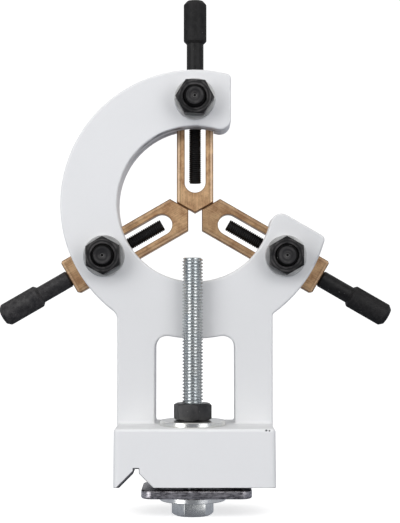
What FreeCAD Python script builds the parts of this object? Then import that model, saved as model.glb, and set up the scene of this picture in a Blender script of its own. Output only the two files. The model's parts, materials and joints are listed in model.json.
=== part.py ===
import FreeCAD, Part
import math
import os
from FreeCAD import Vector

# Steady rest for a bench lathe: three fingers in a C-shaped casting hold a turning workpiece.
# Millimetres. +Z is up, -Y is the front, where the clamp nuts are. The origin lies on the
# lathe bed, under the ring's centre and midway through the casting.

# ---------------------------------------------------------------- casting
centre_height = 105.5           # bed to the axis of the ring
ring_outer_radius = 51.6
ring_inner_radius = 29.8
casting_thickness = 17.0
arm_end_offset = 13.9           # from a finger's axis to the end of the arm beside it
arm_outer_corner = 2.2
arm_inner_corner = 4.3
column_width = 59.4
window_width = 30.4
window_corner = 4.6
left_junction_fillet = 4.0      # where the ring meets the column
right_junction_fillet = 1.5
casting_round = 0.8             # soft edge of the cast outline
foot_width = 59.8               # at the bed
foot_draft = 0.15               # taken off each side by the top of the foot
foot_depth = 40.0
foot_step = 19.5                # the foot's front stands this far before the column's
foot_height = 21.5
foot_corner = 2.0
foot_top_round = 1.2
root_fillet = 1.2               # between the column and the foot

# V groove that rides on the bed's V way
vee_offset = 21.4               # to the left of the ring's axis
vee_width = 12.3
vee_angle = 90.0
vee_relief_width = 2.0
vee_relief_depth = 0.7          # above the point of the V
vee_chamfer = 0.6               # broken edge where the groove runs out of the foot

# ---------------------------------------------------------------- fingers
finger_spacing_angle = 120.0
finger_width = 14.2
finger_thickness = 8.0
slot_past_stud = 1.5            # slot left beyond the top stud, fingers closed
tip_angle = 120.0
slot_start = 7.8                # from the tip to the slot
lug_length = 5.0                # solid end that carries the screw
finger_corner = 0.7
finger_edge = 0.35
web_thickness = 9.4             # casting left in front of the finger
channel_clearance = 0.15
sliding_gap = 0.1
top_tip_overrun = 2.8           # the top finger's tip past the ring's centre, fingers closed
tip_gap = 0.25                  # between the faces of neighbouring tips

# ---------------------------------------------------------------- adjusting screws
screw_thread = 5.0              # M5
screw_start = 11.7              # from the finger's tip to the screw's inner end
screw_tip_chamfer = 0.5
neck_diameter = 3.8
shank_diameter = 6.64
shank_length = 13.3
shank_chamfer = 0.65
knob_diameter = 9.0
knob_length = 17.2
knob_inner_chamfer = 0.8
knob_outer_chamfer = 1.3
knob_dome = 0.35
pin_diameter = 1.5
pin_length = 6.0
running_clearance = 0.06

# ---------------------------------------------------------------- M8 fasteners
m8 = 8.0
m8_clearance = 0.6              # added to the thread's diameter in holes and washers
nut_across_flats = 12.8
nut_height = 6.5
nut_chamfer_angle = 30.0
nut_face = 0.95                 # round end face's diameter as a share of the width across flats
nut_countersink = 0.9
stud_inset = 0.6                # studs sit this far inside the middle of the ring's section
stud_protrusion = 1.8
stud_chamfer = 0.9
stud_dome = 0.3
stud_head_diameter = 16.0
stud_head_height = 4.0
stud_head_round = 0.8
clamp_washer_diameter = 15.8
clamp_washer_thickness = 1.6
washer_edge = 0.25
nut_turn_angles = {"top": -2.5, "left": 32.0, "right": 30.0}    # how each nut happens to sit

# ---------------------------------------------------------------- bed clamp
bolt_offset = -0.8              # along X, from the ring's axis
bolt_gap = 0.5                  # between the bolt and the column's front
bolt_length = 91.0
bolt_clearance = 1.0            # added to the bolt's diameter in the foot, plate and washers
bolt_head_across_flats = 13.8
bolt_head_height = 5.6
bolt_head_turn_angle = -7.5
bolt_point_chamfer = 0.9
bed_nut_turn_angle = -14.0
bed_washer_diameter = 25.0
bed_washer_thickness = 1.9
plate_length = 41.0
plate_shift = 1.5               # along X, from the bolt to the plate's middle
plate_depth = 26.0
plate_thickness = 3.2
plate_corner = 4.5
plate_edge = 0.6
plate_gap = 1.3                 # from the foot to the plate while the clamp is open

# ---------------------------------------------------------------- worked out
front = -casting_thickness / 2
back = casting_thickness / 2
foot_front = front - foot_step
foot_middle = foot_front + foot_depth / 2
bolt_plane = front - bolt_gap - m8 / 2
channel_floor = front + web_thickness
finger_front = channel_floor + sliding_gap
finger_back = finger_front + finger_thickness
screw_plane = (finger_front + finger_back) / 2
stud_hole = m8 + m8_clearance
bolt_hole = m8 + bolt_clearance
slot_width = m8 + 2 * sliding_gap
stud_circle_radius = (ring_inner_radius + ring_outer_radius) / 2 - stud_inset
slot_end = top_tip_overrun + stud_circle_radius + m8 / 2 + slot_past_stud
finger_length = slot_end + lug_length
groove_width = pin_diameter + 4 * running_clearance
pin_offset = neck_diameter / 2 + running_clearance + pin_diameter / 2
finger_angles = {"top": 90.0, "left": 90 + finger_spacing_angle, "right": 90 - finger_spacing_angle}
side_tip_radius = top_tip_overrun + tip_gap / math.sin(math.radians(tip_angle / 2))
tip_radii = {"top": -top_tip_overrun, "left": side_tip_radius, "right": side_tip_radius}
ring_centre = Vector(0, 0, centre_height)
along_y = Vector(0, 1, 0)
upward = Vector(0, 0, 1)


def save(shape, node):
    """Write one piece to its own STEP file."""
    shape.exportStep("parts/" + node + ".step")


def box(low, high):
    """A box between two opposite corners."""
    size = Vector(*high).sub(Vector(*low))
    return Part.makeBox(size.x, size.y, size.z, Vector(*low))


def prism_xz(points, start, end):
    """A straight prism along Y over a polygon given as X and Z."""
    corners = [Vector(x, start, z) for x, z in points]
    outline = Part.makePolygon(corners + corners[:1])
    return Part.Face(outline).extrude(Vector(0, end - start, 0))


def turned(points, base=Vector(0, 0, 0), axis=upward):
    """A solid of revolution: the points are radius and height, from the axis round to the axis."""
    corners = [Vector(radius, 0, height) for radius, height in points]
    outline = Part.makePolygon(corners + corners[:1])
    solid = Part.Face(outline).revolve(Vector(0, 0, 0), upward, 360)
    solid.Placement = FreeCAD.Placement(base, FreeCAD.Rotation(upward, axis))
    return solid


def aimed(shape, angle):
    """Swing a piece made for a finger that points straight up, round the ring to its angle."""
    moved = shape.copy()
    moved.translate(ring_centre)
    moved.rotate(ring_centre, along_y, 90 - angle)
    return moved


def corner_edges(shape, places, reach=0.6):
    """The edges along Y that pass the given X and Z places."""
    found = []
    for edge in shape.Edges:
        ends = [vertex.Point for vertex in edge.Vertexes]
        if len(ends) != 2 or abs(ends[0].x - ends[1].x) + abs(ends[0].z - ends[1].z) > 0.01:
            continue
        if any(math.hypot(ends[0].x - x, ends[0].z - z) < reach for x, z in places):
            found.append(edge)
    return found


def rim_edges(shape, lowest):
    """The outline edges of the two flat faces across Y, above a height."""
    found = []
    for edge in shape.Edges:
        bounds = edge.BoundBox
        on_face = min(abs(bounds.YMin - front), abs(bounds.YMax - back)) < 0.01
        if on_face and bounds.YLength < 0.01 and bounds.ZMax > lowest:
            found.append(edge)
    return found


def root_edges(shape):
    """The straight edges where the column's two faces rise from the foot."""
    found = []
    for edge in shape.Edges:
        bounds = edge.BoundBox
        on_foot = abs(bounds.ZMin - foot_height) < 0.01 and bounds.ZLength < 0.01
        on_column = min(abs(bounds.YMin - front), abs(bounds.YMax - back)) < 0.01 and bounds.YLength < 0.01
        if on_foot and on_column:
            found.append(edge)
    return found


# ---------------------------------------------------------------- the casting
def arm_end_places(radius):
    """Where the ends of the two arms cross a circle of the ring: above, then to the right."""
    along = math.sqrt(radius ** 2 - arm_end_offset ** 2)
    turn = math.radians(finger_angles["right"])
    right_x = along * math.cos(turn) - arm_end_offset * math.sin(turn)
    right_z = along * math.sin(turn) + arm_end_offset * math.cos(turn)
    return [(arm_end_offset, centre_height + along), (right_x, centre_height + right_z)]


def mouth_wedge():
    """The sector that opens the ring into a C, between the top and the right finger."""
    reach = 2 * ring_outer_radius
    turn = math.radians(finger_angles["right"])
    depth = arm_end_offset / math.tan(math.radians(finger_spacing_angle / 2))
    inner = (arm_end_offset, centre_height + depth)
    above = (inner[0], inner[1] + reach)
    right = (inner[0] + reach * math.cos(turn), inner[1] + reach * math.sin(turn))
    far = (right[0], above[1])
    return prism_xz([inner, above, far, right], 2 * front, 2 * back)


def ring_and_column():
    """The flat C-shaped plate with its windowed column."""
    disc = Part.makeCylinder(ring_outer_radius, casting_thickness, Vector(0, front, centre_height), along_y)
    half = column_width / 2
    column = box((-half, front, foot_height / 2), (half, back, centre_height))
    half = window_width / 2
    window = box((-half, 2 * front, 0), (half, 2 * back, centre_height))
    hole = Part.makeCylinder(ring_inner_radius, 2 * casting_thickness,
                             Vector(0, 2 * front, centre_height), along_y)
    plate = column.cut(window).fuse(disc).removeSplitter()
    plate = plate.cut(hole).cut(mouth_wedge())

    def below_ring(x):
        return centre_height - math.sqrt(ring_outer_radius ** 2 - x ** 2)

    side = column_width / 2
    jamb = window_width / 2
    rounds = [
        (left_junction_fillet, [(-side, below_ring(side))]),
        (right_junction_fillet, [(side, below_ring(side))]),
        (window_corner, [(-jamb, below_ring(jamb)), (jamb, below_ring(jamb))]),
        (arm_outer_corner, arm_end_places(ring_outer_radius)),
        (arm_inner_corner, arm_end_places(ring_inner_radius)),
    ]
    for radius, places in rounds:
        plate = plate.makeFillet(radius, corner_edges(plate, places))
    return plate.makeFillet(casting_round, rim_edges(plate, foot_height))


def foot():
    """The thick foot, a little narrower at its top."""
    outlines = []
    for height, inset in ((0, 0), (foot_height, foot_draft)):
        x = foot_width / 2 - inset
        y = foot_depth / 2 - inset
        signs = ((-1, -1), (1, -1), (1, 1), (-1, 1))
        corners = [Vector(x * right, foot_middle + y * far, height) for right, far in signs]
        outlines.append(Part.makePolygon(corners + corners[:1]))
    block = Part.makeLoft(outlines, True, True)
    upright = [edge for edge in block.Edges if edge.BoundBox.ZLength > foot_height / 2]
    block = block.makeFillet(foot_corner, upright)
    top = [edge for edge in block.Edges if edge.BoundBox.ZMin > foot_height - 0.01]
    return block.makeFillet(foot_top_round, top)


def vee_outline(wider):
    """The V as X and Z, wider by this much on each side and carried on below the foot."""
    slope = math.tan(math.radians(vee_angle / 2))
    half = vee_width / 2 + wider
    below = foot_height / 2
    spread = half + below * slope
    return [(-vee_offset - spread, -below), (spread - vee_offset, -below), (-vee_offset, half / slope)]


def vee_groove():
    """The V way groove with a relief slot at its point and a broken edge at each end."""
    start = foot_middle - foot_depth
    end = foot_middle + foot_depth
    groove = prism_xz(vee_outline(0), start, end)
    point = vee_outline(0)[-1][1]
    relief = box((-vee_offset - vee_relief_width / 2, start, 0),
                 (-vee_offset + vee_relief_width / 2, end, point + vee_relief_depth))
    groove = groove.fuse(relief)
    for side in (-1, 1):
        sections = []
        for past, wider in ((-vee_chamfer, 0), (vee_chamfer, 2 * vee_chamfer)):
            y = foot_middle + side * (foot_depth / 2 + past)
            points = [Vector(x, y, z) for x, z in vee_outline(wider)]
            sections.append(Part.makePolygon(points + points[:1]))
        groove = groove.fuse(Part.makeLoft(sections, True, True))
    return groove


def finger_channel(angle):
    """The slot milled in the casting's back for one finger, with its stud's hole."""
    half = finger_width / 2 + channel_clearance
    channel = box((-half, channel_floor, 0), (half, 2 * back, 2 * ring_outer_radius))
    hole = Part.makeCylinder(stud_hole / 2, 2 * casting_thickness,
                             Vector(0, 2 * front, stud_circle_radius), along_y)
    return aimed(channel.fuse(hole), angle)


def frame_casting():
    """Ring, column and foot in one casting, with everything that is machined into it."""
    casting = foot().fuse(ring_and_column()).removeSplitter()
    casting = casting.makeFillet(root_fillet, root_edges(casting))
    for angle in finger_angles.values():
        casting = casting.cut(finger_channel(angle))
    bolt_way = Part.makeCylinder(bolt_hole / 2, 2 * foot_height,
                                 Vector(bolt_offset, bolt_plane, -foot_height / 2), upward)
    return casting.cut(bolt_way).cut(vee_groove())


# ---------------------------------------------------------------- fasteners
def hexagon(across_flats, height, base, axis, turn, bore_radius=0.0):
    """A bolt head with its corners chamfered at the far end or, with a bore, a nut chamfered at both."""
    corner = across_flats / math.sqrt(3)
    points = []
    for side in range(6):
        angle = math.radians(60 * side)
        points.append(Vector(corner * math.cos(angle), corner * math.sin(angle), 0))
    prism = Part.Face(Part.makePolygon(points + points[:1])).extrude(Vector(0, 0, height))
    flat_radius = nut_face * across_flats / 2
    drop = (corner - flat_radius) * math.tan(math.radians(nut_chamfer_angle))
    lower = [(0, 0), (flat_radius, 0), (corner, drop)] if bore_radius else [(0, 0), (corner, 0)]
    outline = lower + [(corner, height - drop), (flat_radius, height), (0, height)]
    solid = prism.common(turned(outline))
    if bore_radius:
        flare = bore_radius + nut_countersink / 2
        bore = [(0, 0), (flare, 0), (bore_radius, nut_countersink / 2),
                (bore_radius, height - nut_countersink / 2), (flare, height), (0, height)]
        solid = solid.cut(turned(bore))
    solid.rotate(Vector(0, 0, 0), upward, turn)
    solid.Placement = FreeCAD.Placement(base, FreeCAD.Rotation(upward, axis)).multiply(solid.Placement)
    return solid


def flat_washer(diameter, bore_diameter, thickness, base, axis):
    """A flat washer with both outer edges broken."""
    outer = diameter / 2
    inner = bore_diameter / 2
    outline = [(inner, 0), (outer - washer_edge, 0), (outer, washer_edge), (outer, thickness - washer_edge),
               (outer - washer_edge, thickness), (inner, thickness)]
    return turned(outline, base, axis)


# ---------------------------------------------------------------- pieces of one finger
def finger(tip_radius):
    """A slotted bar with a V tip and an end lug for the screw."""
    half = finger_width / 2
    shoulder = half / math.tan(math.radians(tip_angle / 2))
    points = [(0, 0), (half, shoulder), (half, finger_length - finger_corner),
              (half - finger_corner, finger_length), (finger_corner - half, finger_length),
              (-half, finger_length - finger_corner), (-half, shoulder)]
    bar = prism_xz(points, finger_front, finger_back)
    rims = [edge for edge in bar.Edges if edge.BoundBox.YLength < 0.01]
    bar = bar.makeChamfer(finger_edge, rims)
    radius = slot_width / 2
    slot = box((-radius, front, slot_start + radius), (radius, 2 * back, slot_end - radius))
    for height in (slot_start + radius, slot_end - radius):
        slot = slot.fuse(Part.makeCylinder(radius, 2 * back - front, Vector(0, front, height), along_y))
    screw_base = Vector(0, screw_plane, slot_end - lug_length / 2)
    screw_way = Part.makeCylinder(screw_thread / 2 + running_clearance, 2 * lug_length, screw_base, upward)
    pin_base = Vector(pin_offset, finger_back - pin_length, slot_end + lug_length / 2)
    pin_way = Part.makeCylinder(pin_diameter / 2, pin_length, pin_base, along_y)
    bar = bar.cut(slot).cut(screw_way).cut(pin_way)
    bar.translate(Vector(0, 0, tip_radius))
    return bar


def adjusting_screw(tip_radius):
    """Thread, grooved neck, shank and knob turned in one piece."""
    thread = screw_thread / 2
    neck = neck_diameter / 2
    shank = shank_diameter / 2
    knob = knob_diameter / 2
    groove = slot_end + lug_length / 2 - groove_width / 2
    shank_start = finger_length + sliding_gap
    knob_start = shank_start + shank_length
    knob_end = knob_start + knob_length
    outline = [
        (0, screw_start),
        (thread - screw_tip_chamfer, screw_start),
        (thread, screw_start + screw_tip_chamfer),
        (thread, groove),
        (neck, groove),
        (neck, groove + groove_width),
        (thread, groove + groove_width),
        (thread, shank_start),
        (shank - shank_chamfer, shank_start),
        (shank, shank_start + shank_chamfer),
        (shank, knob_start),
        (knob - knob_inner_chamfer, knob_start),
        (knob, knob_start + knob_inner_chamfer),
        (knob, knob_end - knob_dome - knob_outer_chamfer),
        (knob - knob_outer_chamfer, knob_end - knob_dome),
        (0, knob_end),
    ]
    return turned(outline, Vector(0, screw_plane, tip_radius))


def retaining_pin(tip_radius):
    """The pin in the lug that runs in the screw's groove."""
    base = Vector(pin_offset, finger_back - pin_length, tip_radius + slot_end + lug_length / 2)
    return Part.makeCylinder(pin_diameter / 2, pin_length, base, along_y)


def clamp_stud():
    """A headed stud that carries the finger's clamping force and the screw's tapped cross hole."""
    head_face = finger_back + sliding_gap
    head = stud_head_diameter / 2
    shank = m8 / 2
    length = head_face - front + clamp_washer_thickness + nut_height + stud_protrusion
    outline = [
        (0, 0),
        (shank - stud_chamfer, stud_dome),
        (shank, stud_dome + stud_chamfer),
        (shank, length),
        (head, length),
        (head, length + stud_head_height - stud_head_round),
        (head - stud_head_round, length + stud_head_height),
        (0, length + stud_head_height),
    ]
    stud = turned(outline, Vector(0, head_face - length, stud_circle_radius), along_y)
    cross_hole = Part.makeCylinder(screw_thread / 2 + running_clearance, 2 * m8,
                                   Vector(0, screw_plane, stud_circle_radius - m8), upward)
    return stud.cut(cross_hole)


def clamp_washer():
    """The washer on the casting's front face."""
    base = Vector(0, front, stud_circle_radius)
    return flat_washer(clamp_washer_diameter, stud_hole, clamp_washer_thickness, base, Vector(0, -1, 0))


def clamp_nut(turn):
    """The nut that clamps the finger."""
    base = Vector(0, front - clamp_washer_thickness, stud_circle_radius)
    return hexagon(nut_across_flats, nut_height, base, Vector(0, -1, 0), turn, m8 / 2 + running_clearance)


# ---------------------------------------------------------------- bed clamp
def bed_clamp_plate():
    """The plate that grips the bed from below."""
    top = -plate_gap
    middle = bolt_offset + plate_shift
    low = (middle - plate_length / 2, bolt_plane - plate_depth / 2, top - plate_thickness)
    high = (middle + plate_length / 2, bolt_plane + plate_depth / 2, top)
    plate = box(low, high)
    upright = [edge for edge in plate.Edges if edge.BoundBox.ZLength > plate_thickness / 2]
    plate = plate.makeFillet(plate_corner, upright)
    rims = [edge for edge in plate.Edges if edge.BoundBox.ZLength < 0.01]
    plate = plate.makeFillet(plate_edge, rims)
    bolt_way = Part.makeCylinder(bolt_hole / 2, 2 * plate_thickness + plate_gap,
                                 Vector(bolt_offset, bolt_plane, top - 2 * plate_thickness), upward)
    return plate.cut(bolt_way)


def bed_clamp_bolt():
    """The hexagon bolt that comes up through the foot and past the column's front."""
    seat = -plate_gap - plate_thickness - bed_washer_thickness
    radius = m8 / 2
    outline = [(0, seat), (radius, seat), (radius, seat + bolt_length - bolt_point_chamfer),
               (radius - bolt_point_chamfer, seat + bolt_length), (0, seat + bolt_length)]
    shank = turned(outline, Vector(bolt_offset, bolt_plane, 0))
    head = hexagon(bolt_head_across_flats, bolt_head_height, Vector(bolt_offset, bolt_plane, seat),
                   Vector(0, 0, -1), bolt_head_turn_angle)
    return shank.fuse(head).removeSplitter()


def bed_clamp_washer(height):
    """One of the two large washers of the bed clamp, by the height of its lower face."""
    base = Vector(bolt_offset, bolt_plane, height)
    return flat_washer(bed_washer_diameter, bolt_hole, bed_washer_thickness, base, upward)


def bed_clamp_nut():
    """The nut in the window, on the upper washer."""
    base = Vector(bolt_offset, bolt_plane, foot_height + bed_washer_thickness)
    bore_radius = m8 / 2 + running_clearance
    return hexagon(nut_across_flats, nut_height, base, upward, bed_nut_turn_angle, bore_radius)


for name, angle in finger_angles.items():
    tip = tip_radii[name]
    save(aimed(finger(tip), angle), "finger_" + name)
    save(aimed(adjusting_screw(tip), angle), "adjusting_screw_" + name)
    save(aimed(retaining_pin(tip), angle), "retaining_pin_" + name)
    save(aimed(clamp_stud(), angle), "clamp_stud_" + name)
    save(aimed(clamp_washer(), angle), "clamp_washer_" + name)
    save(aimed(clamp_nut(nut_turn_angles[name]), angle), "clamp_nut_" + name)

save(frame_casting(), "frame_casting")
save(bed_clamp_plate(), "bed_clamp_plate")
save(bed_clamp_bolt(), "bed_clamp_bolt")
save(bed_clamp_washer(foot_height), "bed_clamp_washer_upper")
save(bed_clamp_washer(-plate_gap - plate_thickness - bed_washer_thickness), "bed_clamp_washer_lower")
save(bed_clamp_nut(), "bed_clamp_nut")
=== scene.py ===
# %% [markdown]
# # A steady rest, dressed for its portrait
# A steady rest stands on a lathe's bed and holds a long turning workpiece between three bronze
# fingers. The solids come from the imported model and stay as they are. This lesson gives them
# their looks: white paint over cast iron, milled bronze, black oxide, zinc plate, cut threads
# and knurled knobs. All lengths are in metres, +Z is up and -Y is the front.

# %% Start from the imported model
import json
import math

import bmesh
import bpy
from mathutils import Matrix, Vector


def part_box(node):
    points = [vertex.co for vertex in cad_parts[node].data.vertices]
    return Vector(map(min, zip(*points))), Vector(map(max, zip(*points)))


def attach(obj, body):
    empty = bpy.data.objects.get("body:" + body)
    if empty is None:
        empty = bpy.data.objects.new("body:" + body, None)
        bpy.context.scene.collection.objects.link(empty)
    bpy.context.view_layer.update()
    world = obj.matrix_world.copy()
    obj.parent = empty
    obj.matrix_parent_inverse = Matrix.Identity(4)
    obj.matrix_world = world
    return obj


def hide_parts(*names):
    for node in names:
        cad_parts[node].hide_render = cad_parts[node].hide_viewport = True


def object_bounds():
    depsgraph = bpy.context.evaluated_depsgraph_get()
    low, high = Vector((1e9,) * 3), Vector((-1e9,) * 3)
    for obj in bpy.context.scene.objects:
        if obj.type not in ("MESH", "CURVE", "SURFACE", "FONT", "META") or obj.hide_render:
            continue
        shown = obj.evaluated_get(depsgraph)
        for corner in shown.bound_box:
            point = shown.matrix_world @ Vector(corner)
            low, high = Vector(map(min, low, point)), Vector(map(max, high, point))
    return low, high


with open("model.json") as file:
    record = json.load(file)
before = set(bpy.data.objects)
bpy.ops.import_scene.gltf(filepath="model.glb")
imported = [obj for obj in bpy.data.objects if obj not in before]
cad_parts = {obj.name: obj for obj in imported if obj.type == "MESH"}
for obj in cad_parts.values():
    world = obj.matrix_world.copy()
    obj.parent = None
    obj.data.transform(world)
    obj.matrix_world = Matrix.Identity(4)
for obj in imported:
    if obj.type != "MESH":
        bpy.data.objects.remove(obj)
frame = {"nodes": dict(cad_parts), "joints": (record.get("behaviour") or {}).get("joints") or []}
cad_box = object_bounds()
joints = {joint["name"]: joint for joint in frame["joints"]}
finger_names = ("top", "left", "right")
mm = 0.001
print("solids:", len(frame["nodes"]), "joints:", len(joints))

# %% [markdown]
# ## Reading places from the solids
# Every size that the solids already have is read from them, so that a new thread or knob sits
# exactly where the plain one was. The one helper looks along an axis, as a machinist does who
# sets a piece between centres: where does it begin, where does it end, how thick is it?

# %% Reading along an axis
def reach(node, origin, axis):
    """Where a solid begins and ends along an axis, and how far it stands off it."""
    places = [vertex.co - origin for vertex in frame["nodes"][node].data.vertices]
    along = [place.dot(axis) for place in places]
    away = [(place - axis * place.dot(axis)).length for place in places]
    return min(along), max(along), max(away)


def middle(node):
    """The middle of a solid's box."""
    low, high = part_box(node)
    return (low + high) / 2


ring_centre = Vector(joints["screw_top_turn"]["pos_m"])
outward = {
    name: Vector(joints["screw_" + name + "_turn"]["axis"]).normalized()
    for name in finger_names
}
forward = Vector((0, -1, 0))
upward = Vector((0, 0, 1))
print("ring centre", [round(value, 4) for value in ring_centre])

# %% [markdown]
# ## A bench for node trees
# Shader trees and geometry trees are both built by hand-placed nodes, which reads badly as a
# long list of links. Two small classes make them read like sums. A Wire is one output socket,
# and Python's own operators on it add Math nodes. A Bench owns the tree, and its one method
# `node` adds any other node: settings first, then the values or wires of its sockets.

# %% Wires and benches
class Wire:
    """One output of a node. Arithmetic on it adds Math nodes to its tree."""

    def __init__(self, bench, socket):
        self.bench = bench
        self.socket = socket

    def __add__(self, other):
        return self.bench.math("ADD", self, other)

    def __radd__(self, other):
        return self.bench.math("ADD", other, self)

    def __sub__(self, other):
        return self.bench.math("SUBTRACT", self, other)

    def __rsub__(self, other):
        return self.bench.math("SUBTRACT", other, self)

    def __mul__(self, other):
        return self.bench.math("MULTIPLY", self, other)

    def __rmul__(self, other):
        return self.bench.math("MULTIPLY", other, self)

    def __truediv__(self, other):
        return self.bench.math("DIVIDE", self, other)

    def __mod__(self, other):
        return self.bench.math("FLOORED_MODULO", self, other)

    def __pow__(self, other):
        return self.bench.math("POWER", self, other)

    def __abs__(self):
        return self.bench.math("ABSOLUTE", self)


class Bench:
    """A node tree in the making."""

    def __init__(self, tree):
        self.tree = tree

    def node(self, kind, settings=None, sockets=None):
        """Add any node and return its outputs as wires, by name."""
        made = self.tree.nodes.new(kind)
        for name, value in (settings or {}).items():
            if name == "stops":
                self.set_stops(made.color_ramp, value)
            else:
                setattr(made, name, value)
        for key, value in (sockets or {}).items():
            self.feed(made.inputs[key], value)
        outputs = {}
        for place, socket in enumerate(made.outputs):
            outputs[place] = Wire(self, socket)
            outputs.setdefault(socket.name, outputs[place])
        return outputs

    def feed(self, socket, value):
        """Give a socket a wire, several wires, or a plain value."""
        for part in value if isinstance(value, list) else [value]:
            if isinstance(part, Wire):
                self.tree.links.new(part.socket, socket)
            else:
                socket.default_value = part

    def set_stops(self, ramp, stops):
        """Set a colour ramp's stops as (place, brightness) pairs."""
        while len(ramp.elements) < len(stops):
            ramp.elements.new(1.0)
        for element, (place, brightness) in zip(ramp.elements, stops):
            element.position = place
            element.color = (brightness, brightness, brightness, 1)

    def math(self, operation, *values):
        """Add one Math node."""
        sockets = dict(enumerate(values))
        return self.node("ShaderNodeMath", {"operation": operation}, sockets)["Value"]

    def least(self, first, second):
        return self.math("MINIMUM", first, second)

    def most(self, first, second):
        return self.math("MAXIMUM", first, second)

    def rise(self, value, start, end):
        """0 up to start, 1 from end on, and a straight rise between."""
        sockets = {"Value": value, "From Min": start, "From Max": end}
        return self.node("ShaderNodeMapRange", None, sockets)["Result"]

    def band(self, value, start, full, fading, end):
        """1 from full to fading, and 0 before start and past end."""
        return self.rise(value, start, full) * self.rise(value, end, fading)

    def vector(self, x, y, z):
        return self.node("ShaderNodeCombineXYZ", None, {"X": x, "Y": y, "Z": z})["Vector"]

    def split(self, vector):
        """A vector's three parts."""
        parts = self.node("ShaderNodeSeparateXYZ", None, {"Vector": vector})
        return parts["X"], parts["Y"], parts["Z"]

    def mix(self, share, first, second):
        """Go from the first colour to the second by a share."""
        settings = {"data_type": "RGBA", "clamp_factor": True}
        return self.node("ShaderNodeMix", settings, {0: share, 6: first, 7: second})[2]


print("a wire takes part in sums, a bench takes any node")

# %% [markdown]
# ## Threads and knurls grow from one rule
# A cut thread and a rolled diamond knurl are the same kind of thing: a rod whose surface is a
# regular pattern of rows and columns. Booleans would be slow and leave slivers, and a bump map
# would leave the outline smooth, which a bolt's edge shows at once. So a Geometry Nodes tree
# rolls a grid into a rod and lets a rule set each point's radius. For the thread, the rows
# climb by one pitch in a turn, so the crest is a line of the mesh itself and stays crisp. For
# the knurl, every second point is pressed in, so each square of the grid is half a diamond.

# %% The patterned rod
FULL_TURN = 2 * math.pi
WELD = 0.002 * mm
ROW_SLACK = 0.01
ROOT_REACH = 1 / 8
CREST_REACH = 7 / 16


def patterned_rod(name, climbs, relief):
    """A tree for a rod along +Z.

    relief(bench, column, row, steps) is 0 in the valleys and 1 on the crests.
    """
    tree = bpy.data.node_groups.new(name, "GeometryNodeTree")
    tree.interface.new_socket(name="Geometry", in_out="OUTPUT", socket_type="NodeSocketGeometry")
    inputs = {
        "Length": "Float", "Radius": "Float", "Depth": "Float", "Pitch": "Float",
        "Steps": "Int", "Sides": "Int", "Finish": "Material",
    }
    for label, kind in inputs.items():
        tree.interface.new_socket(name=label, in_out="INPUT", socket_type="NodeSocket" + kind)
    bench = Bench(tree)
    given = bench.node("NodeGroupInput")
    length, steps, sides = given["Length"], given["Steps"], given["Sides"]
    step = given["Pitch"] / steps
    climb = steps * (1 if climbs else 0)
    rows = bench.math("CEIL", length / step + climb - ROW_SLACK)
    grid = bench.node("GeometryNodeMeshGrid", None, {
        "Size X": sides, "Size Y": rows, "Vertices X": sides + 1, "Vertices Y": rows + 1})
    x, y, _ = bench.split(bench.node("GeometryNodeInputPosition")["Position"])
    column = bench.math("ROUND", x + sides / 2)
    row = bench.math("ROUND", y + rows / 2)
    share = column / sides
    height = bench.most(bench.least((row - climb * (1 - share)) * step, length), 0.0)
    from_end = bench.least(height, length - height)
    root = given["Radius"] - given["Depth"]
    raised = root + given["Depth"] * relief(bench, column, row, steps)
    radius = bench.least(raised, root + from_end)
    angle = share * FULL_TURN
    place = bench.vector(
        radius * bench.math("COSINE", angle), radius * bench.math("SINE", angle), height)
    wall = bench.node("GeometryNodeSetPosition", None, {
        "Geometry": grid["Mesh"], "Position": place})
    disc = bench.node("GeometryNodeMeshCircle", {"fill_type": "TRIANGLE_FAN"}, {
        "Vertices": sides, "Radius": root})
    floor = bench.node("GeometryNodeFlipFaces", None, {"Mesh": disc["Mesh"]})
    lid = bench.node("GeometryNodeTransform", None, {
        "Geometry": disc["Mesh"], "Translation": bench.vector(0.0, 0.0, length)})
    closed = bench.node("GeometryNodeJoinGeometry", None, {
        "Geometry": [wall["Geometry"], floor["Mesh"], lid["Geometry"]]})
    welded = bench.node("GeometryNodeMergeByDistance", None, {
        "Geometry": closed["Geometry"], "Distance": WELD})
    real = bench.node("GeometryNodeRealizeInstances", None, {"Geometry": welded["Geometry"]})
    done = bench.node("GeometryNodeSetMaterial", None, {
        "Geometry": real["Geometry"], "Material": given["Finish"]})
    bench.node("NodeGroupOutput", None, {"Geometry": done["Geometry"]})
    return tree


def thread_relief(bench, column, row, steps):
    """A 60 degree thread: an eighth of the pitch is crest and a quarter is root."""
    from_root = abs(row / steps % 1.0 - 0.5)
    return bench.rise(from_root, ROOT_REACH, CREST_REACH)


def knurl_relief(bench, column, row, steps):
    """Every second point of the grid stands proud."""
    return (column + row) % 2.0


thread_tree = patterned_rod("cut_thread", True, thread_relief)
knurl_tree = patterned_rod("diamond_knurl", False, knurl_relief)
print("trees:", thread_tree.name, knurl_tree.name)

# %% [markdown]
# ## From a tree to a plain mesh
# A tree needs an object to run on. The carrier here is an empty mesh: its modifier gets its
# sizes by socket identifier, the result is copied out as plain faces, and the carrier goes.

# %% Running a tree
CRISP = math.radians(28)


def smoothed(mesh, angle):
    """Shade a mesh smooth, but keep every edge crisp that turns by more than an angle."""
    mesh.shade_smooth()
    mesh.set_sharp_from_angle(angle=angle)
    return mesh


def finished(mesh, finish):
    """Give a mesh one finish all over."""
    mesh.materials.clear()
    mesh.materials.append(finish)
    return mesh


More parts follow.
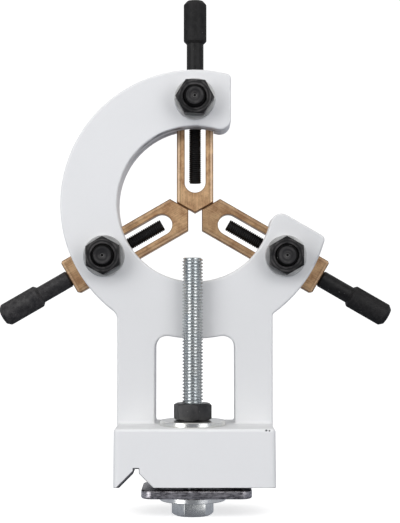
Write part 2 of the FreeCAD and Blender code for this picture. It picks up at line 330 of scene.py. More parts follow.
def grown(tree, **sizes):
    """Run a geometry tree once and return its result as a mesh."""
    carrier = bpy.data.objects.new(tree.name + "_carrier", bpy.data.meshes.new(tree.name))
    bpy.context.scene.collection.objects.link(carrier)
    modifier = carrier.modifiers.new(tree.name, "NODES")
    modifier.node_group = tree
    for item in tree.interface.items_tree:
        if item.in_out == "INPUT":
            modifier[item.identifier] = sizes[item.name.lower()]
    bpy.context.view_layer.update()
    evaluated = carrier.evaluated_get(bpy.context.evaluated_depsgraph_get())
    mesh = bpy.data.meshes.new_from_object(evaluated)
    bpy.data.objects.remove(carrier)
    return smoothed(finished(mesh, sizes["finish"]), CRISP)


# %% [markdown]
# ## Turned bodies
# Shanks, knobs and stud heads are turned on a lathe, so they are made the same way: a half
# outline from pole to pole, spun about Z. Edges that turn by more than CRISP stay crisp.

# %% The lathe
TURNED_SIDES = 64


def turned(outline, finish):
    """A closed solid of revolution from (radius, height) points, both ends on the axis."""
    sides = TURNED_SIDES
    made = bmesh.new()
    rings = []
    for radius, height in outline:
        if radius == 0:
            rings.append([made.verts.new((0, 0, height))])
            continue
        angles = [FULL_TURN * side / sides for side in range(sides)]
        rings.append([
            made.verts.new((radius * math.cos(a), radius * math.sin(a), height)) for a in angles])
    for lower, upper in zip(rings, rings[1:]):
        for side in range(sides):
            after = (side + 1) % sides
            if len(lower) == 1:
                made.faces.new((lower[0], upper[after], upper[side]))
            elif len(upper) == 1:
                made.faces.new((lower[side], lower[after], upper[0]))
            else:
                made.faces.new((lower[side], lower[after], upper[after], upper[side]))
    bmesh.ops.recalc_face_normals(made, faces=made.faces)
    mesh = bpy.data.meshes.new("turned")
    made.to_mesh(mesh)
    made.free()
    return smoothed(finished(mesh, finish), CRISP)


def stood(base, axis):
    """The move that takes a piece made along +Z to its base and axis."""
    return Matrix.Translation(base) @ axis.to_track_quat("Z", "Y").to_matrix().to_4x4()


def assembled(name, parts):
    """One object from several (mesh, move) parts, each of which keeps its own finish."""
    whole = bmesh.new()
    finishes = []
    for mesh, move in parts:
        placed = mesh.copy()
        placed.transform(move)
        if mesh.materials[0] not in finishes:
            finishes.append(mesh.materials[0])
        place = finishes.index(mesh.materials[0])
        placed.polygons.foreach_set("material_index", [place] * len(placed.polygons))
        whole.from_mesh(placed)
    result = bpy.data.meshes.new(name)
    whole.to_mesh(result)
    whole.free()
    for finish in finishes:
        result.materials.append(finish)
    piece = bpy.data.objects.new(name, result)
    bpy.context.scene.collection.objects.link(piece)
    print(name, "faces:", len(result.polygons))
    return piece


def fitted(piece, body, slot, *nodes):
    """Let a piece ride on its body, in place of plain solids. The slot is not used."""
    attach(piece, body)
    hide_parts(*nodes)


# %% [markdown]
# ## Broken edges
# No machined edge is a razor: a file or a tumbler takes it off, and that thin round is what
# catches the light. The plain solids of nuts, heads and plates are copied, their triangles
# welded back into flat faces, and every sharp edge gets a narrow bevel.

# %% Softening a solid's edges
FLAT = math.radians(1)
ROUNDED = math.radians(40)
BEVEL_STEPS = 2
BEVEL_FULLNESS = 0.6


def welded_copy(node):
    """A solid's faces, open for editing, with the corners of its triangles welded."""
    made = bmesh.new()
    made.from_mesh(frame["nodes"][node].data)
    bmesh.ops.remove_doubles(made, verts=made.verts, dist=WELD)
    return made


def edges_broken(made, name, width, finish):
    """Make one face of each flat area, bevel every sharp edge, and turn the result into a mesh."""
    bmesh.ops.dissolve_limit(made, angle_limit=FLAT, verts=made.verts, edges=made.edges)
    sharp = [edge for edge in made.edges if edge.is_manifold and edge.calc_face_angle() > CRISP]
    bmesh.ops.bevel(made, geom=sharp, offset=width, segments=BEVEL_STEPS, profile=BEVEL_FULLNESS,
                    affect="EDGES", clamp_overlap=True)
    mesh = bpy.data.meshes.new(name)
    made.to_mesh(mesh)
    made.free()
    return smoothed(finished(mesh, finish), ROUNDED)


def softened(node, name, width, finish, body, slot):
    """A copy of a solid with its sharp edges broken, in the solid's place."""
    mesh = edges_broken(welded_copy(node), name, width, finish)
    piece = bpy.data.objects.new(name, mesh)
    bpy.context.scene.collection.objects.link(piece)
    fitted(piece, body, slot, node)
    print(name, "faces:", len(mesh.polygons))


# %% [markdown]
# ## Finishes
# Each finish is one Principled shader. What is the same all over is set on its own socket, and
# only what changes over the surface is wired: colour, roughness and a bump for the normal. All
# patterns read Object coordinates, in metres, so a grain has a real size.

# %% A finish to start from
def new_finish(name, **constants):
    """A material, its bench, its shader's sockets and the object coordinates."""
    material = bpy.data.materials.new(name)
    material.use_nodes = True
    bench = Bench(material.node_tree)
    shader = material.node_tree.nodes["Principled BSDF"].inputs
    for label, value in constants.items():
        shader[label.replace("_", " ")].default_value = value
    place = bench.node("ShaderNodeTexCoord")["Object"]
    return material, bench, shader, place


def noise(bench, place, grain, detail=3.0, roughness=0.55):
    """Cloudy noise from 0 to 1 whose patches are about one grain across."""
    sockets = {"Vector": place, "Scale": 1 / grain, "Detail": detail, "Roughness": roughness}
    return bench.node("ShaderNodeTexNoise", None, sockets)["Fac"]


def bump(bench, shader, height, distance):
    """Raise the surface by a height from 0 to 1 times a distance."""
    made = bench.node("ShaderNodeBump", None, {"Height": height, "Distance": distance})
    bench.feed(shader["Normal"], made["Normal"])


def away_from(centre, x, z):
    """How far a point lies from the line that runs through a centre from front to back."""
    return ((x - centre.x) ** 2 + (z - centre.z) ** 2) ** 0.5


def tinted(tone, tint):
    """A tint made as dark or light as a tone, ready for a socket."""
    return tuple(tone * part for part in tint) + (1,)


# %% [markdown]
# ### White paint over cast iron
# The casting is sprayed a cool satin white. Real spray paint is never even: it has a faint
# orange peel and clouds of tone, and two small chips on the foot's front edge show the dark
# iron. Painted shade greys the right arm, the lower column and the bore near the top finger.
# The work has streaked the bore and rubbed a line near its front. The V groove and the
# underside are machined after painting, so they are bare, and the dark band on the V's left
# edge is bare iron and painted shade.

# %% Casting paint
PAINT = (0.806, 0.808, 0.814, 1)
PAINT_SHADE = (0.762, 0.765, 0.773, 1)
BARE_IRON = (0.060, 0.060, 0.068, 1)
# Painted shade for the right arm and the lower column.
PAINT_PAINTED_SHADE = (0.620, 0.624, 0.628, 1)
# Painted shade for the bore near the top finger.
BORE_PAINTED_SHADE = (0.500, 0.505, 0.540, 1)
SCUFFED = (0.100, 0.100, 0.120, 1)

# Each pair is where a change begins and where it is complete.
# Painted shade: the right arm is greyed.
shade_right_x, shade_right_z, shade_right_share = (14 * mm, 44 * mm), (62 * mm, 84 * mm), 0.5
# Painted shade: the column is greyed towards the bottom.
shade_low_z, shade_low_y, shade_low_share = (96 * mm, 64 * mm), (-12 * mm, -9 * mm), 0.25
underside = (0.20 * mm, 0.08 * mm)

# Turns are angles about the ring's axis, in radians from straight up.
bore_radius = 29.8 * mm
bore_reach = (0.5 * mm, 0.2 * mm)
streaked_turn = (1.3, 0.5)
streak_around, streak_along = 0.008, 0.6
streak_marks = (0.47, 0.60)
bore_shade_share, streak_share = 0.25, 0.70
rubbed_middle, rubbed_turn = -0.42, (0.38, 0.28)
rubbed_marks, rubbed_share = (0.40, 0.50), 0.85
rubbed_depths = (-8.0 * mm, -7.6 * mm, -4.6 * mm, -4.0 * mm)

vee_middle = -21.4 * mm
vee_top = 6.15 * mm
vee_height = (7.4 * mm, 7.2 * mm)
vee_wall = (0.14 * mm, 0.06 * mm)
# The dark band on the V's left edge is bare iron and also painted shade.
vee_shaded_edge, vee_shaded_edge_side = (1.05 * mm, 0.85 * mm), (-0.5 * mm, -0.7 * mm)
vee_slot_side, vee_slot_height = (1.30 * mm, 1.15 * mm), (4.6 * mm, 4.8 * mm)

# The middle of each chip and its size, in millimetres.
chips = ((26.2, -28.0, 21.1, 0.55), (27.4, -28.0, 21.0, 0.40))
chip_fade = (0.35, 0.20)


def vee_wear(bench, x, z):
    """1 on the machined walls of the V groove and on the broken edge of its left wall, whose dark
    band is bare iron and painted shade.
    """
    aside = x - vee_middle
    off_wall = abs(z - vee_top + abs(aside)) * math.sqrt(0.5)
    wall = bench.rise(off_wall, *vee_wall)
    # Bare iron, and also painted shade, on the left edge only.
    left_edge_bare_and_shaded = bench.rise(off_wall, *vee_shaded_edge) * bench.rise(aside, *vee_shaded_edge_side)
    slot = bench.rise(abs(aside), *vee_slot_side) * bench.rise(z, *vee_slot_height)
    return bench.most(bench.most(wall, left_edge_bare_and_shaded), slot) * bench.rise(z, *vee_height)


def bore_wear(bench, x, y, z, paint):
    """Grey the bore near the top finger as painted shade, streak it there, and rub a line near its
    front edge.
    """
    bore = bench.rise(abs(away_from(ring_centre, x, z) - bore_radius), *bore_reach)
    turn = bench.math("ARCTAN2", x - ring_centre.x, z - ring_centre.z)
    near_finger = bore * bench.rise(abs(turn), *streaked_turn)
    drawn_out = bench.vector(turn * streak_around, y * streak_along, 0.0)
    streaks = noise(bench, drawn_out, 3.0 * mm, detail=4.0, roughness=0.60)
    # Painted shade: the bore near the top finger is greyed.
    paint = bench.mix(near_finger * bore_shade_share, paint, BORE_PAINTED_SHADE)
    marks = near_finger * bench.rise(streaks, *streak_marks)
    paint = bench.mix(marks * streak_share, paint, SCUFFED)
    rubbed_arc = bench.rise(abs(turn - rubbed_middle), *rubbed_turn)
    rubbed_arc = rubbed_arc * bench.rise(streaks, *rubbed_marks)
    rubbed = bore * rubbed_arc * bench.band(y, *rubbed_depths)
    return bench.mix(rubbed * rubbed_share, paint, SCUFFED)


def bare_iron(bench, x, y, z, place):
    """1 where the iron shows: on the underside, in the V groove and at the chips. On the V's left
    edge the dark is also painted shade.
    """
    bare = bench.most(bench.rise(z, *underside), vee_wear(bench, x, z))
    ragged = noise(bench, place, 0.5 * mm, detail=3.0) * 0.5 * mm
    for chip_x, chip_y, chip_z, size in chips:
        apart = ((x - chip_x * mm) ** 2 + (y - chip_y * mm) ** 2 + (z - chip_z * mm) ** 2) ** 0.5
        fade = [(size + more) * mm for more in chip_fade]
        bare = bench.most(bare, bench.rise(apart + ragged, *fade))
    return bare


def casting_paint():
    material, bench, shader, place = new_finish("casting_paint")
    x, y, z = bench.split(place)
    clouds = noise(bench, place, 24 * mm)
    dust = noise(bench, place, 1.1 * mm, detail=5.0)
    paint = bench.mix(clouds * 0.7 + dust * 0.3, PAINT, PAINT_SHADE)
    # Painted shade: the right arm and the lower column are greyed.
    right_shade = bench.rise(x, *shade_right_x) * bench.rise(z, *shade_right_z) * shade_right_share
    low_shade = bench.rise(z, *shade_low_z) * bench.rise(y, *shade_low_y) * shade_low_share
    paint = bench.mix(bench.most(right_shade, low_shade), paint, PAINT_PAINTED_SHADE)
    paint = bore_wear(bench, x, y, z, paint)
    bare = bare_iron(bench, x, y, z, place)
    bench.feed(shader["Base Color"], bench.mix(bare, paint, BARE_IRON))
    bench.feed(shader["Roughness"], 0.36 + clouds * 0.10 + dust * 0.06)
    peel = noise(bench, place, 1.6 * mm, detail=2.0)
    cast = noise(bench, place, 6.0 * mm, detail=2.0)
    bump(bench, shader, peel * 0.35 + cast * 0.65 - bare * 0.6, 0.05 * mm)
    return material


# %% [markdown]
# ### Milled bronze
# The fingers are sawn and milled from bronze bar. The cutter leaves fine lines along the bar,
# and handling leaves brown clouds and a few dark stains. The broken edges carry a painted
# highlight, with a painted dark line inside it and a painted dark rim at the very edge, both
# painted shade, and the right finger is darkened as painted shade. The lines and the edges
# follow each finger, so the finish is built once for each of them.

# %% Finger bronze
BRONZE = (0.790, 0.520, 0.290, 1)
BRONZE_BROWN = (0.430, 0.240, 0.125, 1)
# A painted highlight for the broken edges.
BRONZE_HIGHLIGHT = (0.960, 0.770, 0.580, 1)
# Real stains, and also painted shade for the edges and the right finger.
BRONZE_STAIN_AND_SHADE = (0.110, 0.060, 0.035, 1)
finger_half_width = 7.1 * mm
finger_slot_radius = 4.1 * mm
finger_slot_start = 7.8 * mm
finger_lug = 5.0 * mm
TIP_SINE, TIP_COSINE = math.sin(math.radians(60)), math.cos(math.radians(60))

# Where each mark begins, is complete, fades and ends, in from the bar's sides. The band is a
# painted highlight, and the line and the rim are painted shade. The rim also runs about the
# tip and the slot.
edge_highlight_band = (0.25 * mm, 0.45 * mm, 1.05 * mm, 1.25 * mm)
painted_shade_line = (1.00 * mm, 1.20 * mm, 1.40 * mm, 1.75 * mm)
painted_shade_rim = (0.42 * mm, 0.22 * mm)
tip_fade = (0.2 * mm, 0.6 * mm)
shoulder_width = 1.2 * mm
cutter_stretch = 0.05
front_facing = (0.3, 0.6)


def edge_distances(bench, along, across, tip, end):
    """How far a point of the face lies from the bar's sides and end, its tip and its slot."""
    beside = abs(across)
    from_tip = (along - tip) * TIP_SINE - beside * TIP_COSINE
    from_side = bench.least(finger_half_width - beside, end - along)
    slot_low = tip + finger_slot_start + finger_slot_radius
    slot_high = end - finger_lug - finger_slot_radius
    beyond = bench.most(bench.most(slot_low - along, along - slot_high), 0.0)
    from_slot = (beside ** 2 + beyond ** 2) ** 0.5 - finger_slot_radius
    return from_side, from_tip, from_slot


def finger_bronze(name, tone, band):
    """One finger's bronze. The band sets the strength of the painted highlight on its broken edges
    and how round they are; the tone darkens the finger as painted shade.
    """
    material, bench, shader, place = new_finish("bronze_" + name, Metallic=1.0)
    axis = outward[name]
    tip, end, _ = reach("finger_" + name, ring_centre, axis)
    x, y, z = bench.split(place)
    x, z = x - ring_centre.x, z - ring_centre.z
    along = x * axis.x + z * axis.z
    across = x * axis.z - z * axis.x
    cut = bench.vector(along * cutter_stretch, across, y)
    lines = noise(bench, cut, 0.30 * mm, detail=3.0)
    clouds = noise(bench, place, 4.0 * mm, detail=6.0, roughness=0.68)
    grime = noise(bench, place, 1.0 * mm, detail=4.0, roughness=0.7)
    from_side, from_tip, from_slot = edge_distances(bench, along, across, tip, end)
    facing = abs(bench.split(bench.node("ShaderNodeTexCoord")["Normal"])[1])
    face = bench.rise(facing, *front_facing)
    rough_edge = from_side + (grime - 0.5) * 0.5 * mm
    # A painted highlight along the broken edges, and a painted dark line and dark rim as painted
    # shade.
    broken = bench.band(rough_edge, *edge_highlight_band) * bench.rise(from_tip, *tip_fade)
    line = bench.band(rough_edge, *painted_shade_line)
    rim = bench.rise(bench.least(bench.least(from_side, from_tip), from_slot), *painted_shade_rim)
    flecks = bench.rise(grime, 0.60, 0.72)
    brown = bench.rise(clouds * 0.7 + lines * 0.3, 0.42, 0.60)
    colour = bench.mix(brown, BRONZE, BRONZE_BROWN)
    colour = bench.mix(broken * face * band, colour, BRONZE_HIGHLIGHT)
    # Painted shade from the line and the rim, and real stains from the flecks.
    stains_and_shade = bench.most(bench.most(line * 0.28, rim * 0.45) * face, flecks * 0.45)
    colour = bench.mix(stains_and_shade, colour, BRONZE_STAIN_AND_SHADE)
    # Painted shade: the whole finger is darkened by its tone.
    colour = bench.mix(1.0 - tone, colour, BRONZE_STAIN_AND_SHADE)
    bench.feed(shader["Base Color"], colour)
    bench.feed(shader["Roughness"], 0.32 + clouds * 0.18 + flecks * 0.15)
    shoulder = bench.rise(from_side, 0.0, shoulder_width) * band * 2.5
    bump(bench, shader, shoulder + lines * 0.10 + grime * 0.10, 0.10 * mm)
    return material


# %% [markdown]
# ### Black oxide
# Nuts, studs and screws are blacked in a hot salt bath. The black is thin: it is a little
# brown, a little cloudy, and shines softly where the steel below is smooth. A knurled knob
# looks duller, because each diamond scatters the light. The clamp nuts and the ends of the
# studs show the rings of the lathe tool, and a painted highlight brightens the middle of each.

# %% Black oxide
# Rubbed specks, and the painted highlight at the centre of turned faces.
RUBBED_AND_HIGHLIGHT = (0.180, 0.175, 0.170, 1)
CLOUD_CUTS = (0.45, 0.47, 0.42)
CLOUD_GAINS = (0.80, 0.72, 0.74)
VALLEY_TINT = (0.50, 0.48, 0.52)
RING_TINT = (1.0, 0.94, 0.94)
RING_SHEEN = 0.28
# Where the painted highlight at the centre fades.
centre_highlight = (0.80 * mm, 0.40 * mm)


def black_oxide(name, tone, dullness, sheen, grain=5 * mm, contrast=1.0):
    """Black steel, with clouds of one grain and a few bright specks where it is rubbed."""
    material, bench, shader, place = new_finish(name, Specular_IOR_Level=sheen)
    clouds = noise(bench, place, grain, detail=5.0, roughness=0.6)
    grit = noise(bench, place, 0.45 * mm, detail=3.0)
    dark = tinted(tone, [1 - cut * contrast for cut in CLOUD_CUTS])
    light = tinted(tone, [1 + gain * contrast for gain in CLOUD_GAINS])
    colour = bench.mix(bench.rise(clouds * 0.7 + grit * 0.3, 0.38, 0.62), dark, light)
    specks = bench.rise(noise(bench, place, 0.7 * mm, detail=1.0), 0.76, 0.80)
    bench.feed(shader["Base Color"], bench.mix(specks, colour, RUBBED_AND_HIGHLIGHT))
    bench.feed(shader["Roughness"], dullness + clouds * 0.12 + grit * 0.08)
    bump(bench, shader, clouds * 0.4 + grit * 0.6, 0.015 * mm)
    return material


def turned_oxide(name, tone, ring_tone, dullness, centre, feed):
    """Black steel faced on a lathe: one ring for each feed of the tool, and a painted highlight at
    the centre.
    """
    material, bench, shader, place = new_finish(name, Specular_IOR_Level=RING_SHEEN)
    x, _, z = bench.split(place)
    away = away_from(centre, x, z)
    clouds = noise(bench, place, 3 * mm, detail=4.0)
    rings = bench.math("SINE", (away / feed + clouds * 0.6) * FULL_TURN) * 0.5 + 0.5
    patchy = bench.rise(noise(bench, place, 4 * mm), 0.42, 0.58)
    dark, light = tinted(tone, VALLEY_TINT), tinted(ring_tone, RING_TINT)
    colour = bench.mix(rings * patchy, dark, light)
    # A painted highlight at the centre.
    colour = bench.mix(bench.rise(away, *centre_highlight), colour, RUBBED_AND_HIGHLIGHT)
    bench.feed(shader["Base Color"], colour)
    bench.feed(shader["Roughness"], dullness + clouds * 0.10 + rings * 0.08)
    bump(bench, shader, rings, 0.05 * mm)
    return material


# %% [markdown]
# ### Turned washers
# The washers under the clamp nuts are bare steel, faced on a lathe. The tool leaves rings, so
# the pattern needs each washer's own centre, and the finish is built once for each of them.
# The retaining pins take the same finish, a little smoother.

# %% Washer steel
STEEL = (0.70, 0.70, 0.69)
STEEL_DARK, STEEL_LIGHT = 0.72, 1.12


def ringed_steel(name, centre, dullness):
    material, bench, shader, place = new_finish(name, Metallic=1.0)
    x, _, z = bench.split(place)
    rows = bench.vector(away_from(centre, x, z), 0.3 * mm, 0.7 * mm)
    rings = noise(bench, rows, 0.14 * mm, detail=2.0)
    clouds = noise(bench, place, 4 * mm, detail=4.0)
    share = bench.rise(clouds * 0.6 + rings * 0.4, 0.35, 0.65)
    colour = bench.mix(share, tinted(STEEL_DARK, STEEL), tinted(STEEL_LIGHT, STEEL))
    bench.feed(shader["Base Color"], colour)
    bench.feed(shader["Roughness"], dullness + clouds * 0.14)
    bump(bench, shader, rings, 0.010 * mm)
    return material


# %% [markdown]
# ### Zinc plate
# The bed bolt and its two washers are bright zinc. The coat goes from a cool to a warmer grey
# in patches, and a fine mottle dulls it. The washers' zinc is lighter than the bolt's, as
# painted light.

# %% Zinc plate
ZINC_DULLED = 0.55


def zinc_plate(name, cool, warm, dullness, mottling):
    """Zinc that goes from a cool to a warm tone in patches and is dulled in a fine mottle."""
    material, bench, shader, place = new_finish(name, Metallic=1.0)
    patches = noise(bench, place, 6 * mm, detail=3.0)
    mottle = noise(bench, place, 1.2 * mm, detail=5.0, roughness=0.65)
    colour = bench.mix(bench.rise(patches, 0.4, 0.65), cool, warm)
    marks = bench.rise(mottle, 0.48, 0.70) * mottling
    colour = bench.mix(marks, colour, tinted(ZINC_DULLED, cool[:3]))
    bench.feed(shader["Base Color"], colour)
    bench.feed(shader["Roughness"], dullness + mottle * 0.12)
    bump(bench, shader, mottle, 0.012 * mm)
    return material


# %% [markdown]
# ### Burnished plate
# The clamp plate is hot-rolled steel that has been tumbled. Its scale is rubbed through in dark
# and light streaks that follow the rolling.

# %% Clamp plate steel
SCALE_DARK = (0.060, 0.056, 0.066, 1)
SCALE_WORN = (0.640, 0.615, 0.640, 1)
ROLLED_STRETCH = 0.30


def burnished_plate():
    material, bench, shader, place = new_finish("burnished_plate", Metallic=0.9)
    x, y, z = bench.split(place)
    rolled = bench.vector(x * ROLLED_STRETCH, y * ROLLED_STRETCH, z)
    mottle = noise(bench, rolled, 0.7 * mm, detail=5.0, roughness=0.7)
    clouds = noise(bench, place, 7 * mm, detail=2.0)
    share = bench.rise(mottle * 0.65 + clouds * 0.35, 0.38, 0.66)
    bench.feed(shader["Base Color"], bench.mix(share, SCALE_DARK, SCALE_WORN))
    bench.feed(shader["Roughness"], 0.14 + mottle * 0.28)
    bump(bench, shader, mottle, 0.03 * mm)
    return material


paint = casting_paint()
thread_black = black_oxide("thread_black", tone=0.007, dullness=0.40, sheen=0.30)
shank_black = black_oxide("shank_black", tone=0.008, dullness=0.36, sheen=0.20, grain=2.5 * mm)
bed_nut_black = black_oxide("bed_nut_black", tone=0.019, dullness=0.20, sheen=0.34, contrast=0.8)
bolt_zinc = zinc_plate("bolt_zinc", cool=(0.600, 0.630, 0.640, 1), warm=(0.640, 0.650, 0.640, 1),
                       dullness=0.20, mottling=0.35)
head_zinc = zinc_plate("head_zinc", cool=(0.620, 0.632, 0.622, 1), warm=(0.650, 0.652, 0.632, 1),
                       dullness=0.20, mottling=0.65)
# Painted light: the washers' zinc is lighter than the bolt's.
washer_zinc = zinc_plate("washer_zinc", cool=(0.760, 0.765, 0.750, 1),
                         warm=(0.790, 0.780, 0.740, 1), dullness=0.18, mottling=0.25)
plate_steel = burnished_plate()
print("finishes:", len(bpy.data.materials))

# %% [markdown]
# ## Finishes on the plain solids
# The casting, the fingers, the washers and the pins keep their own solids, which already have
# their chamfers and rounds, and only take a finish. The right finger is painted darkest, as
# painted shade, and the painted highlights on the edges of both side fingers are weaker than
# the top one's.

# %% Solids that stay
# Painted shade darkens the right finger; the side fingers get a weaker painted highlight.
finger_shade_tones = {"top": 1.0, "left": 0.97, "right": 0.76}
finger_highlight_bands = {"top": 0.40, "left": 0.14, "right": 0.14}
ringed_dullness = {"clamp_washer_": 0.30, "retaining_pin_": 0.22}
staying = {"frame_casting": paint}
for name in finger_names:
    staying["finger_" + name] = finger_bronze(name, finger_shade_tones[name], finger_highlight_bands[name])
    for kind, dullness in ringed_dullness.items():
        node = kind + name
        staying[node] = ringed_steel(node + "_steel", middle(node), dullness)
for node in ("bed_clamp_washer_upper", "bed_clamp_washer_lower"):
    staying[node] = washer_zinc
for node, finish in staying.items():
    finished(frame["nodes"][node].data, finish)
print("solids that stay:", len(staying))

# %% [markdown]
# ## Nuts and plate with broken edges
# The clamp nuts show the rings of the tool, each about its own centre.

# %% Softened pieces
clamp_nut_edge = 0.12 * mm
bed_nut_edge = 0.15 * mm
plate_edge = 0.08 * mm
for name in finger_names:
    node = "clamp_nut_" + name
    nut_black = turned_oxide("nut_black_" + name, tone=0.012, ring_tone=0.060, dullness=0.28,
                             centre=middle(node), feed=1.2 * mm)
    softened(node, "blacked_nut_" + name, clamp_nut_edge, nut_black, "nut_" + name, "black_steel")
softened("bed_clamp_nut", "blacked_bed_nut", bed_nut_edge, bed_nut_black, "bed_nut", "black_steel")
softened("bed_clamp_plate", "clamp_plate_burnished", plate_edge, plate_steel, "bed_plate",
         "dark_plate")

# %% [markdown]
# ## The clamp studs
# Each stud is an M8 thread at the front, a plain shank through the casting, and a round head
# behind the finger. The thread is grown by the tree and the rest is turned: a chamfer about
# the end, painted a darker, duller black as painted shade, and in the end the small cone that
# the lathe's centre left.

# %% Clamp studs
M8_RADIUS = 4.0 * mm
M8_PITCH = 1.25 * mm
M8_DEPTH = 0.68 * mm
stud_thread_length = 15 * mm
stud_head_height = 4.0 * mm
stud_head_round = 0.8 * mm
stud_end_radius = 3.35 * mm
stud_end_height = 0.70 * mm
centre_radius = 0.60 * mm
centre_depth = 0.30 * mm
chamfer_sink = 0.04 * mm
shank_overlap = 0.3 * mm
# Painted shade: a darker, duller black for the chamfer about the stud's end.
chamfer_black = black_oxide("chamfer_black", tone=0.004, dullness=0.50, sheen=0.05)


def m8_thread(length, finish):
    """A length of M8 thread along +Z."""
    return grown(thread_tree, length=length, radius=M8_RADIUS, depth=M8_DEPTH, pitch=M8_PITCH,
                 steps=8, sides=48, finish=finish)


def clamp_stud(name):
    node = "clamp_stud_" + name
    base = middle(node)
    low, high, head_radius = reach(node, base, forward)
    end_black = turned_oxide("stud_end_black_" + name, tone=0.026, ring_tone=0.040, dullness=0.30,
                             centre=base, feed=1.4 * mm)
    end_start = high - stud_end_height
    thread_start = end_start - stud_thread_length
    head_start = low + stud_head_height
    body = turned([
        (0, low),
        (head_radius - stud_head_round, low),
        (head_radius, low + stud_head_round),
        (head_radius, head_start),
        (M8_RADIUS, head_start),
        (M8_RADIUS, thread_start + shank_overlap),
        (0, thread_start + shank_overlap),
    ], shank_black)
    chamfer = turned([
        (0, end_start),
        (M8_RADIUS, end_start),
        (stud_end_radius, high - chamfer_sink),
        (0, high - chamfer_sink),
    ], chamfer_black)
    end = turned([
        (0, end_start),
        (stud_end_radius, end_start),
        (stud_end_radius, high),
        (centre_radius, high),
        (0, high - centre_depth),
    ], end_black)
    stand = stood(base, forward)
    thread = m8_thread(stud_thread_length, thread_black)
    piece = assembled("threaded_stud_" + name, [
        (thread, stood(base + forward * thread_start, forward)),
        (body, stand),
        (chamfer, stand),
        (end, stand),
    ])
    fitted(piece, "root", "black_steel", node)


for name in finger_names:
    clamp_stud(name)

# %% [markdown]
# ## The adjusting screws
# One bar of steel becomes a fine M5 thread, a grooved neck that the retaining pin runs in, a
# shank and a knurled knob. The knurl is rolled on after turning, so it is a sleeve of small
# diamonds over a core that is a hair thinner.

# %% Adjusting screws
M5_PITCH = 0.8 * mm
M5_DEPTH = 0.43 * mm
thread_radius = 2.5 * mm
neck_radius = 1.9 * mm
neck_width = 1.74 * mm
shank_radius = 3.32 * mm
shank_length = 13.3 * mm
shank_chamfer = 0.65 * mm
knob_length = 17.2 * mm
knob_chamfer_in = 0.8 * mm
knob_chamfer_out = 1.3 * mm
knob_dome = 0.35 * mm
dome_radius_share = 0.6
dome_drop_share = 0.25
knurl_pitch = 0.80 * mm
knurl_depth = 0.16 * mm
# Painted light: the left knob and its turned parts are a lighter black.
knob_painted_light_tones = {"top": 0.010, "left": 0.032, "right": 0.011}
turned_share = 0.8


def adjusting_screw(name):
    node = "adjusting_screw_" + name
    axis = outward[name]
    low, high, knob_radius = reach(node, ring_centre, axis)
    pin_place = (middle("retaining_pin_" + name) - ring_centre).dot(axis)
    groove = pin_place - neck_width / 2
    knob_start = high - knob_length
    shank_start = knob_start - shank_length
    thread = grown(thread_tree, length=groove - low, radius=thread_radius, depth=M5_DEPTH,
                   pitch=M5_PITCH, steps=6, sides=32, finish=thread_black)
    # The left screw's lighter black is painted light.
    tone = knob_painted_light_tones[name]
    knob_black = black_oxide("knob_black_" + name, tone, dullness=0.46, sheen=0.20, grain=2.0 * mm)
    turned_black = black_oxide("turned_black_" + name, tone * turned_share, dullness=0.36,
                               sheen=0.20, grain=2.5 * mm)
    core = knob_radius - knurl_depth
    face = knob_radius - knob_chamfer_out
    knurl_start = knob_start + knob_chamfer_in
    knurl_end = high - knob_dome - knob_chamfer_out
    knurl = grown(knurl_tree, length=knurl_end - knurl_start, radius=knob_radius,
                  depth=knurl_depth, pitch=knurl_pitch, steps=2, sides=70, finish=knob_black)
    body = turned([
        (0, groove),
        (neck_radius, groove),
        (neck_radius, groove + neck_width),
        (thread_radius, groove + neck_width),
        (thread_radius, shank_start),
        (shank_radius - shank_chamfer, shank_start),
        (shank_radius, shank_start + shank_chamfer),
        (shank_radius, knob_start),
        (core - knob_chamfer_in, knob_start),
        (core, knurl_start),
        (core, knurl_end),
        (face, high - knob_dome),
        (face * dome_radius_share, high - knob_dome * dome_drop_share),
        (0, high),
    ], turned_black)
    stand = stood(ring_centre, axis)
    parts = [
        (thread, stood(ring_centre + axis * low, axis)),
        (knurl, stood(ring_centre + axis * knurl_start, axis)),
        (body, stand),
    ]
    piece = assembled("knurled_screw_" + name, parts)
    fitted(piece, "screw_" + name, "black_steel", node)


for name in finger_names:
    adjusting_screw(name)

# %% [markdown]
# ## The bed bolt
# A long hexagon bolt comes up from below through the foot. It stands just in front of the
# column, and its end shows in front of the ring's opening. Its thread runs its whole length and
# is what the eye meets first, so its outline must be real. The plain shank is cut off a copy of
# the solid, the head is closed, and a thread takes the shank's place.

# %% Bed bolt
bolt_head_height = 5.6 * mm
bolt_head_edge = 0.18 * mm
head_overlap = 0.5 * mm
HAIR = 0.01 * mm


def bed_bolt():
    centre = middle("bed_clamp_bolt")
    axis_foot = Vector((centre.x, centre.y, 0))
    low, high, _ = reach("bed_clamp_bolt", axis_foot, upward)
    seat = low + bolt_head_height
    made = welded_copy("bed_clamp_bolt")
    above = [vert for vert in made.verts if vert.co.z > seat + HAIR]
    bmesh.ops.delete(made, geom=above, context="VERTS")
    bmesh.ops.holes_fill(made, edges=[edge for edge in made.edges if edge.is_boundary])
    head = edges_broken(made, "bolt_head", bolt_head_edge, head_zinc)
    thread = m8_thread(high - seat + head_overlap, bolt_zinc)
    piece = assembled("threaded_bed_bolt", [
        (thread, stood(axis_foot + upward * (seat - head_overlap), upward)),
        (head, Matrix.Identity(4)),
    ])
    fitted(piece, "bed_bolt", "zinc_steel", "bed_clamp_bolt")


bed_bolt()

# %% [markdown]
# ## The stage
# A plain pale floor lies just under the lowest point, and a white sky stands behind it. A tall
# softbox on each side gives the metals their bright bands, and a wide one above the camera
# lights the front.

# %% Floor
floor_size = 4.0
floor_gap = 0.02 * mm
floor_grain = 0.3
FLOOR_TONES = (0.93, 0.93, 0.93, 1), (0.95, 0.95, 0.95, 1)


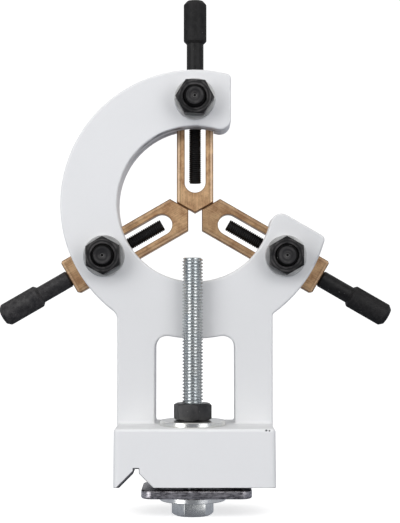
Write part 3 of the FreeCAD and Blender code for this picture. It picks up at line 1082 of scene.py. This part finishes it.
def pale_floor():
    material, bench, shader, place = new_finish(
        "pale_floor", Roughness=0.9, Specular_IOR_Level=0.1, Emission_Strength=0.62)
    pale = bench.mix(noise(bench, place, floor_grain), *FLOOR_TONES)
    bench.feed(shader["Base Color"], pale)
    bench.feed(shader["Emission Color"], pale)
    mesh = bpy.data.meshes.new("floor")
    half = floor_size / 2
    height = cad_box[0].z - floor_gap
    corners = [(x * half, y * half, height) for x, y in ((-1, -1), (1, -1), (1, 1), (-1, 1))]
    mesh.from_pydata(corners, [], [(0, 1, 2, 3)])
    mesh.materials.append(material)
    piece = bpy.data.objects.new("floor", mesh)
    bpy.context.scene.collection.objects.link(piece)
    piece.visible_diffuse = False
    piece.visible_glossy = False


pale_floor()

# %% Lights
SKY_BLUE = (0.90, 0.95, 1.08, 1)
WHITE = (1, 1, 1, 1)


def softbox(name, azimuth, elevation, distance, width, height, power):
    """A rectangular light that faces the object.

    Azimuth 0 is behind the camera and 90 is to its right.
    """
    light = bpy.data.lights.new(name, "AREA")
    light.shape = "RECTANGLE"
    light.size = width
    light.size_y = height
    light.energy = power
    lamp = bpy.data.objects.new(name, light)
    turn, lift = math.radians(azimuth), math.radians(elevation)
    flat = math.cos(lift)
    way = Vector((math.sin(turn) * flat, -math.cos(turn) * flat, math.sin(lift)))
    centre = (cad_box[0] + cad_box[1]) / 2
    lamp.location = centre + way * distance
    lamp.rotation_euler = way.to_track_quat("Z", "Y").to_euler()
    bpy.context.scene.collection.objects.link(lamp)


def white_sky(seen, low, high, shade):
    """A sky that looks white, gives a softer light, and is dim low down and behind the camera."""
    world = bpy.data.worlds.new("white_sky")
    bpy.context.scene.world = world
    world.use_nodes = True
    bench = Bench(world.node_tree)
    _, y, z = bench.split(bench.node("ShaderNodeTexCoord")["Generated"])
    given = low + (high - low) * bench.rise(z, -0.5, 0.1)
    given = given * (1 - shade * bench.rise(y, -0.75, -0.97))
    seen_directly = bench.node("ShaderNodeLightPath")["Is Camera Ray"]
    strength = given + seen_directly * (seen - given)
    background = world.node_tree.nodes["Background"].inputs
    tint = bench.rise(z, -0.2, 0.3) + seen_directly
    bench.feed(background["Color"], bench.mix(tint, SKY_BLUE, WHITE))
    bench.feed(background["Strength"], strength)


white_sky(seen=1.1, low=0.26, high=0.62, shade=0.50)
softbox("left", azimuth=-43, elevation=10, distance=1.1, width=0.60, height=1.2, power=6.4)
softbox("right", azimuth=37, elevation=13, distance=1.1, width=0.60, height=0.9, power=3.6)
softbox("front", azimuth=-4, elevation=31, distance=1.2, width=1.0, height=0.30, power=2.2)
bpy.context.scene.view_settings.view_transform = "Standard"

# %% [markdown]
# ## The camera
# The view is from the front, level with the top of the column and tilted up a little, so that
# the whole piece fits.

# %% Camera
view_place = Vector((0.0028, -0.5048, 0.0682))
view_tilt = 1.747
view_turn = -0.098
lens = bpy.data.cameras.new("camera")
lens.sensor_width = 36.0
lens.lens = 89.5
camera = bpy.data.objects.new("camera", lens)
camera.location = view_place
camera.rotation_euler = (math.radians(90 + view_tilt), 0, math.radians(-view_turn))
bpy.context.scene.collection.objects.link(camera)
bpy.context.scene.camera = camera
print("camera at", tuple(round(value, 3) for value in view_place))
